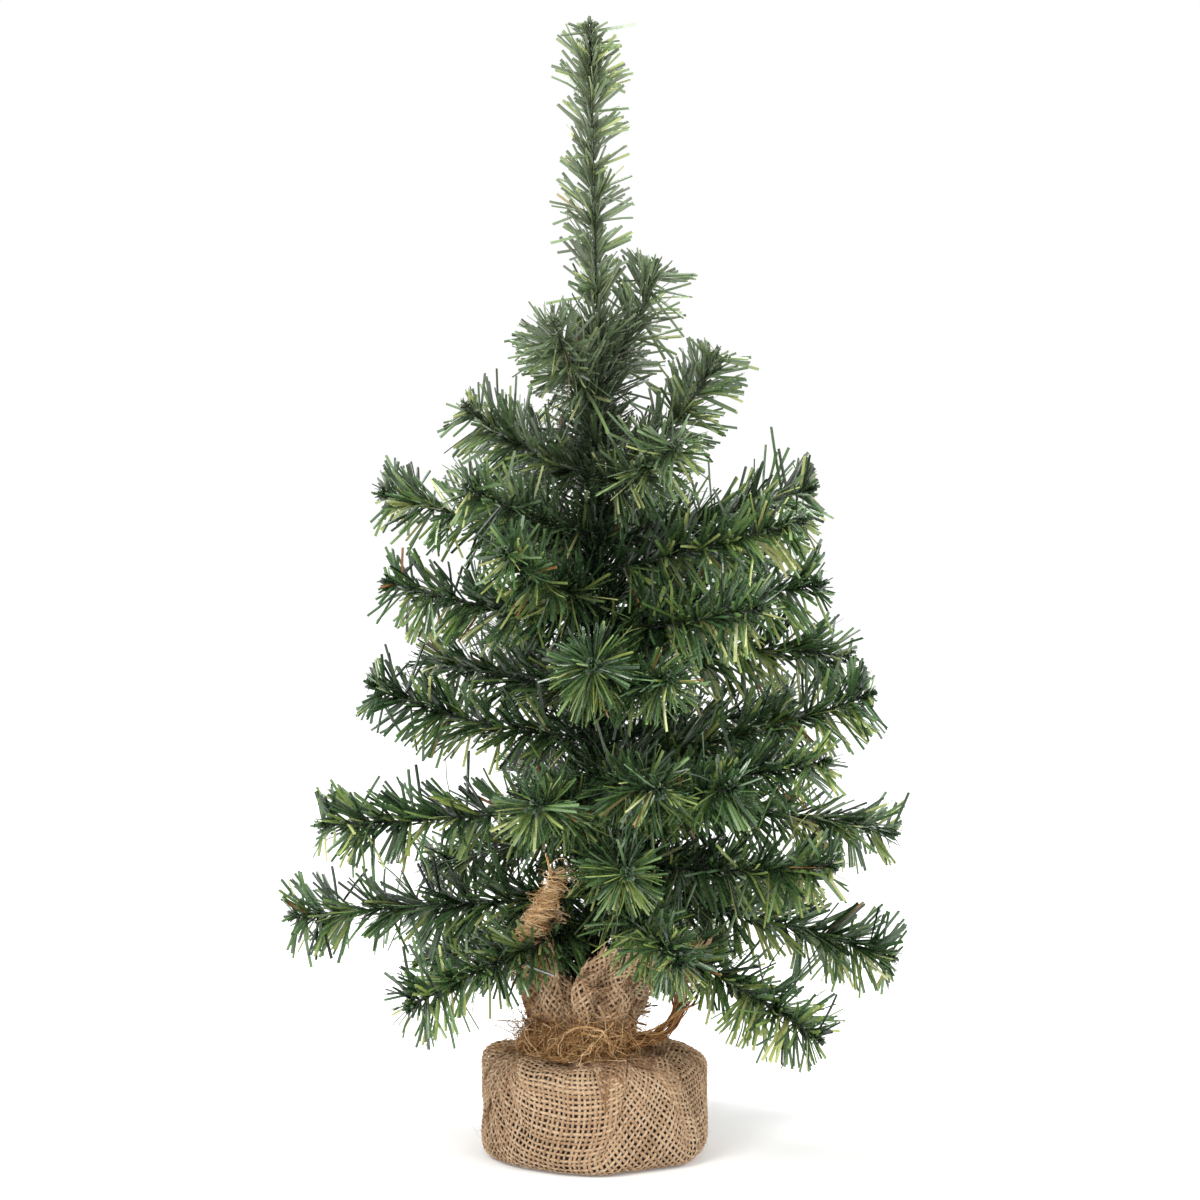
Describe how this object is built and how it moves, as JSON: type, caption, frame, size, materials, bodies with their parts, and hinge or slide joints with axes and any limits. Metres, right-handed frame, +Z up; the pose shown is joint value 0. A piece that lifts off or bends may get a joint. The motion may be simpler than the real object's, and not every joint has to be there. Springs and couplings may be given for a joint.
{
  "type": "artificial tabletop tree",
  "caption": "Small artificial tree with needle branches that bend by hand, on a steel pole in a burlap-wrapped weighted base.",
  "frame": {"origin": "centre of the face that the base rests on", "axes": "+Z up along the trunk, -Y towards the front, +X to the right seen from the front"},
  "size_m": [0.3255, 0.2819, 0.6001],
  "materials": {
    "cement": "rough cast cement",
    "steel_wire": "dark green lacquered steel",
    "needle_green": "soft PVC film with a slight gloss",
    "burlap": "open plain-woven jute",
    "jute_twine": "hairy twisted jute"
  },
  "bodies": {
    "base": {"base_weight": "cement", "trunk_pole": "steel_wire", "root_bindings": "steel_wire", "trunk_garland": "needle_green", "burlap_wrap": "burlap", "neck_tie": "jute_twine"},
    "leader": {"leader": "needle_green"},
    "branch_01": {"branch_01": "needle_green"},
    "branch_02": {"branch_02": "needle_green"},
    "branch_03": {"branch_03": "needle_green"},
    "branch_04": {"branch_04": "needle_green"},
    "branch_05": {"branch_05": "needle_green"},
    "branch_06": {"branch_06": "needle_green"},
    "branch_07": {"branch_07": "needle_green"},
    "branch_08": {"branch_08": "needle_green"},
    "branch_09": {"branch_09": "needle_green"},
    "branch_10": {"branch_10": "needle_green"},
    "branch_11": {"branch_11": "needle_green"},
    "branch_12": {"branch_12": "needle_green"},
    "branch_13": {"branch_13": "needle_green"},
    "branch_14": {"branch_14": "needle_green"},
    "branch_15": {"branch_15": "needle_green"},
    "branch_16": {"branch_16": "needle_green"},
    "branch_17": {"branch_17": "needle_green"},
    "branch_18": {"branch_18": "needle_green"},
    "branch_19": {"branch_19": "needle_green"},
    "branch_20": {"branch_20": "needle_green"},
    "branch_21": {"branch_21": "needle_green"},
    "branch_22": {"branch_22": "needle_green"},
    "branch_23": {"branch_23": "needle_green"},
    "branch_24": {"branch_24": "needle_green"},
    "branch_25": {"branch_25": "needle_green"},
    "branch_26": {"branch_26": "needle_green"},
    "branch_27": {"branch_27": "needle_green"},
    "branch_28": {"branch_28": "needle_green"},
    "branch_29": {"branch_29": "needle_green"},
    "branch_30": {"branch_30": "needle_green"},
    "branch_31": {"branch_31": "needle_green"},
    "branch_32": {"branch_32": "needle_green"},
    "branch_33": {"branch_33": "needle_green"},
    "branch_34": {"branch_34": "needle_green"},
    "branch_35": {"branch_35": "needle_green"},
    "branch_36": {"branch_36": "needle_green"},
    "branch_37": {"branch_37": "needle_green"},
    "branch_38": {"branch_38": "needle_green"},
    "branch_39": {"branch_39": "needle_green"},
    "branch_40": {"branch_40": "needle_green"},
    "branch_41": {"branch_41": "needle_green"},
    "branch_42": {"branch_42": "needle_green"},
    "branch_43": {"branch_43": "needle_green"},
    "branch_44": {"branch_44": "needle_green"},
    "branch_45": {"branch_45": "needle_green"},
    "branch_46": {"branch_46": "needle_green"},
    "branch_47": {"branch_47": "needle_green"},
    "branch_48": {"branch_48": "needle_green"},
    "branch_49": {"branch_49": "needle_green"},
    "branch_50": {"branch_50": "needle_green"},
    "branch_51": {"branch_51": "needle_green"},
    "branch_52": {"branch_52": "needle_green"}
  },
  "joints": [
    {"name": "leader_bend", "type": "hinge", "parent": "base", "child": "leader", "pos_m": [0, 0, 0.452], "axis": [0, 1, 0], "range_deg": [-20, 20]},
    {"name": "branch_01_bend", "type": "hinge", "parent": "base", "child": "branch_01", "pos_m": [0.0045, 0.0026, 0.412], "axis": [0.5, -0.866, 0], "range_deg": [-20, 5]},
    {"name": "branch_02_bend", "type": "hinge", "parent": "base", "child": "branch_02", "pos_m": [-0.0022, -0.00471, 0.405], "axis": [-0.9063, 0.4226, 0], "range_deg": [-20, 20]},
    {"name": "branch_03_bend", "type": "hinge", "parent": "base", "child": "branch_03", "pos_m": [-0.00298, 0.00426, 0.408], "axis": [0.8192, 0.5736, 0], "range_deg": [-20, 20]},
    {"name": "branch_04_bend", "type": "hinge", "parent": "base", "child": "branch_04", "pos_m": [0.0009, 0.00512, 0.404], "axis": [0.9848, -0.1736, 0], "range_deg": [-20, 20]},
    {"name": "branch_05_bend", "type": "hinge", "parent": "base", "child": "branch_05", "pos_m": [-0.00512, -0.0009, 0.364], "axis": [-0.1736, 0.9848, 0], "range_deg": [-20, 20]},
    {"name": "branch_06_bend", "type": "hinge", "parent": "base", "child": "branch_06", "pos_m": [0.00512, -0.0009, 0.366], "axis": [-0.1736, -0.9848, 0], "range_deg": [-20, 5]},
    {"name": "branch_07_bend", "type": "hinge", "parent": "base", "child": "branch_07", "pos_m": [0.0026, -0.0045, 0.358], "axis": [-0.866, -0.5, 0], "range_deg": [-20, 20]},
    {"name": "branch_08_bend", "type": "hinge", "parent": "base", "child": "branch_08", "pos_m": [-0.00045, 0.00518, 0.368], "axis": [0.9962, 0.0872, 0], "range_deg": [-20, 20]},
    {"name": "branch_09_bend", "type": "hinge", "parent": "base", "child": "branch_09", "pos_m": [-0.00348, 0.00386, 0.362], "axis": [0.7431, 0.6691, 0], "range_deg": [-20, 20]},
    {"name": "branch_10_bend", "type": "hinge", "parent": "base", "child": "branch_10", "pos_m": [-0.00518, 0.00045, 0.33], "axis": [0.0872, 0.9962, 0], "range_deg": [-20, 20]},
    {"name": "branch_11_bend", "type": "hinge", "parent": "base", "child": "branch_11", "pos_m": [-0.00398, -0.00334, 0.334], "axis": [-0.6428, 0.766, 0], "range_deg": [-20, 20]},
    {"name": "branch_12_bend", "type": "hinge", "parent": "base", "child": "branch_12", "pos_m": [0.00517, 0.00054, 0.328], "axis": [0.1045, -0.9945, 0], "range_deg": [-20, 20]},
    {"name": "branch_13_bend", "type": "hinge", "parent": "base", "child": "branch_13", "pos_m": [0.00471, -0.0022, 0.314], "axis": [-0.4226, -0.9063, 0], "range_deg": [-20, 20]},
    {"name": "branch_14_bend", "type": "hinge", "parent": "base", "child": "branch_14", "pos_m": [0.00178, 0.00489, 0.324], "axis": [0.9397, -0.342, 0], "range_deg": [-20, 20]},
    {"name": "branch_15_bend", "type": "hinge", "parent": "base", "child": "branch_15", "pos_m": [-0.0022, 0.00471, 0.326], "axis": [0.9063, 0.4226, 0], "range_deg": [-20, 20]},
    {"name": "branch_16_bend", "type": "hinge", "parent": "base", "child": "branch_16", "pos_m": [-0.00518, -0.00045, 0.29], "axis": [-0.0872, 0.9962, 0], "range_deg": [-20, 20]},
    {"name": "branch_17_bend", "type": "hinge", "parent": "base", "child": "branch_17", "pos_m": [-0.0026, -0.0045, 0.298], "axis": [-0.866, 0.5, 0], "range_deg": [-20, 20]},
    {"name": "branch_18_bend", "type": "hinge", "parent": "base", "child": "branch_18", "pos_m": [0.00505, -0.00126, 0.286], "axis": [-0.2419, -0.9703, 0], "range_deg": [-20, 20]},
    {"name": "branch_19_bend", "type": "hinge", "parent": "base", "child": "branch_19", "pos_m": [0.00368, -0.00368, 0.28], "axis": [-0.7071, -0.7071, 0], "range_deg": [-20, 20]},
    {"name": "branch_20_bend", "type": "hinge", "parent": "base", "child": "branch_20", "pos_m": [0.00386, 0.00348, 0.296], "axis": [0.6691, -0.7431, 0], "range_deg": [-20, 20]},
    {"name": "branch_21_bend", "type": "hinge", "parent": "base", "child": "branch_21", "pos_m": [-0.00135, 0.00502, 0.292], "axis": [0.9659, 0.2588, 0], "range_deg": [-20, 20]},
    {"name": "branch_22_bend", "type": "hinge", "parent": "base", "child": "branch_22", "pos_m": [0.0052, 0, 0.258], "axis": [0, -1, 0], "range_deg": [-20, 20]},
    {"name": "branch_23_bend", "type": "hinge", "parent": "base", "child": "branch_23", "pos_m": [-0.00009, -0.0052, 0.265], "axis": [-0.9998, 0.0175, 0], "range_deg": [-15, 20]},
    {"name": "branch_24_bend", "type": "hinge", "parent": "base", "child": "branch_24", "pos_m": [0.00161, -0.00494, 0.253], "axis": [-0.9511, -0.309, 0], "range_deg": [-20, 15]},
    {"name": "branch_25_bend", "type": "hinge", "parent": "base", "child": "branch_25", "pos_m": [-0.00459, 0.00244, 0.25], "axis": [0.4695, 0.8829, 0], "range_deg": [-20, 20]},
    {"name": "branch_26_bend", "type": "hinge", "parent": "base", "child": "branch_26", "pos_m": [0.0022, 0.00471, 0.26], "axis": [0.9063, -0.4226, 0], "range_deg": [-20, 20]},
    {"name": "branch_27_bend", "type": "hinge", "parent": "base", "child": "branch_27", "pos_m": [-0.00228, 0.00467, 0.257], "axis": [0.8988, 0.4384, 0], "range_deg": [-20, 20]},
    {"name": "branch_28_bend", "type": "hinge", "parent": "base", "child": "branch_28", "pos_m": [-0.0052, -0.00018, 0.225], "axis": [-0.0349, 0.9994, 0], "range_deg": [-20, 20]},
    {"name": "branch_29_bend", "type": "hinge", "parent": "base", "child": "branch_29", "pos_m": [0.00441, 0.00276, 0.222], "axis": [0.5299, -0.848, 0], "range_deg": [-20, 20]},
    {"name": "branch_30_bend", "type": "hinge", "parent": "base", "child": "branch_30", "pos_m": [0.00515, -0.00072, 0.21], "axis": [-0.1392, -0.9903, 0], "range_deg": [-20, 20]},
    {"name": "branch_31_bend", "type": "hinge", "parent": "base", "child": "branch_31", "pos_m": [0, 0.0052, 0.224], "axis": [1, 0, 0], "range_deg": [-20, 20]},
    {"name": "branch_32_bend", "type": "hinge", "parent": "base", "child": "branch_32", "pos_m": [-0.00512, -0.0009, 0.188], "axis": [-0.1736, 0.9848, 0], "range_deg": [-20, 20]},
    {"name": "branch_33_bend", "type": "hinge", "parent": "base", "child": "branch_33", "pos_m": [-0.00126, -0.00505, 0.19], "axis": [-0.9703, 0.2419, 0], "range_deg": [-20, 20]},
    {"name": "branch_34_bend", "type": "hinge", "parent": "base", "child": "branch_34", "pos_m": [0.00126, -0.00505, 0.204], "axis": [-0.9703, -0.2419, 0], "range_deg": [-20, 20]},
    {"name": "branch_35_bend", "type": "hinge", "parent": "base", "child": "branch_35", "pos_m": [0.00276, -0.00441, 0.186], "axis": [-0.848, -0.5299, 0], "range_deg": [-20, 20]},
    {"name": "branch_36_bend", "type": "hinge", "parent": "base", "child": "branch_36", "pos_m": [0.0045, -0.0026, 0.194], "axis": [-0.5, -0.866, 0], "range_deg": [-20, 20]},
    {"name": "branch_37_bend", "type": "hinge", "parent": "base", "child": "branch_37", "pos_m": [0.00516, 0.00063, 0.186], "axis": [0.1219, -0.9925, 0], "range_deg": [-20, 20]},
    {"name": "branch_38_bend", "type": "hinge", "parent": "base", "child": "branch_38", "pos_m": [-0.00426, 0.00298, 0.172], "axis": [0.5736, 0.8192, 0], "range_deg": [-20, 20]},
    {"name": "branch_39_bend", "type": "hinge", "parent": "base", "child": "branch_39", "pos_m": [0.0026, 0.0045, 0.188], "axis": [0.866, -0.5, 0], "range_deg": [-20, 20]},
    {"name": "branch_40_bend", "type": "hinge", "parent": "base", "child": "branch_40", "pos_m": [-0.00135, 0.00502, 0.19], "axis": [0.9659, 0.2588, 0], "range_deg": [-20, 20]},
    {"name": "branch_41_bend", "type": "hinge", "parent": "base", "child": "branch_41", "pos_m": [-0.00519, 0.00036, 0.138], "axis": [0.0698, 0.9976, 0], "range_deg": [-20, 20]},
    {"name": "branch_42_bend", "type": "hinge", "parent": "base", "child": "branch_42", "pos_m": [0.00063, -0.00516, 0.162], "axis": [-0.9925, -0.1219, 0], "range_deg": [-20, 20]},
    {"name": "branch_43_bend", "type": "hinge", "parent": "base", "child": "branch_43", "pos_m": [0.00169, -0.00492, 0.142], "axis": [-0.9455, -0.3256, 0], "range_deg": [-20, 20]},
    {"name": "branch_44_bend", "type": "hinge", "parent": "base", "child": "branch_44", "pos_m": [0.00471, -0.0022, 0.158], "axis": [-0.4226, -0.9063, 0], "range_deg": [-20, 20]},
    {"name": "branch_45_bend", "type": "hinge", "parent": "base", "child": "branch_45", "pos_m": [0.00519, -0.00027, 0.142], "axis": [-0.0523, -0.9986, 0], "range_deg": [-20, 20]},
    {"name": "branch_46_bend", "type": "hinge", "parent": "base", "child": "branch_46", "pos_m": [0.00398, 0.00334, 0.15], "axis": [0.6428, -0.766, 0], "range_deg": [-20, 20]},
    {"name": "branch_47_bend", "type": "hinge", "parent": "base", "child": "branch_47", "pos_m": [0.00045, 0.00518, 0.152], "axis": [0.9962, -0.0872, 0], "range_deg": [-20, 20]},
    {"name": "branch_48_bend", "type": "hinge", "parent": "base", "child": "branch_48", "pos_m": [-0.0045, 0.0026, 0.118], "axis": [0.5, 0.866, 0], "range_deg": [-15, 20]},
    {"name": "branch_49_bend", "type": "hinge", "parent": "base", "child": "branch_49", "pos_m": [-0.0041, -0.0032, 0.124], "axis": [-0.6157, 0.788, 0], "range_deg": [-15, 20]},
    {"name": "branch_50_bend", "type": "hinge", "parent": "base", "child": "branch_50", "pos_m": [0.0041, -0.0032, 0.126], "axis": [-0.6157, -0.788, 0], "range_deg": [-15, 20]},
    {"name": "branch_51_bend", "type": "hinge", "parent": "base", "child": "branch_51", "pos_m": [0.00244, 0.00459, 0.122], "axis": [0.8829, -0.4695, 0], "range_deg": [-15, 20]},
    {"name": "branch_52_bend", "type": "hinge", "parent": "base", "child": "branch_52", "pos_m": [-0.00178, 0.00489, 0.123], "axis": [0.9397, 0.342, 0], "range_deg": [-15, 20]}
  ]
}
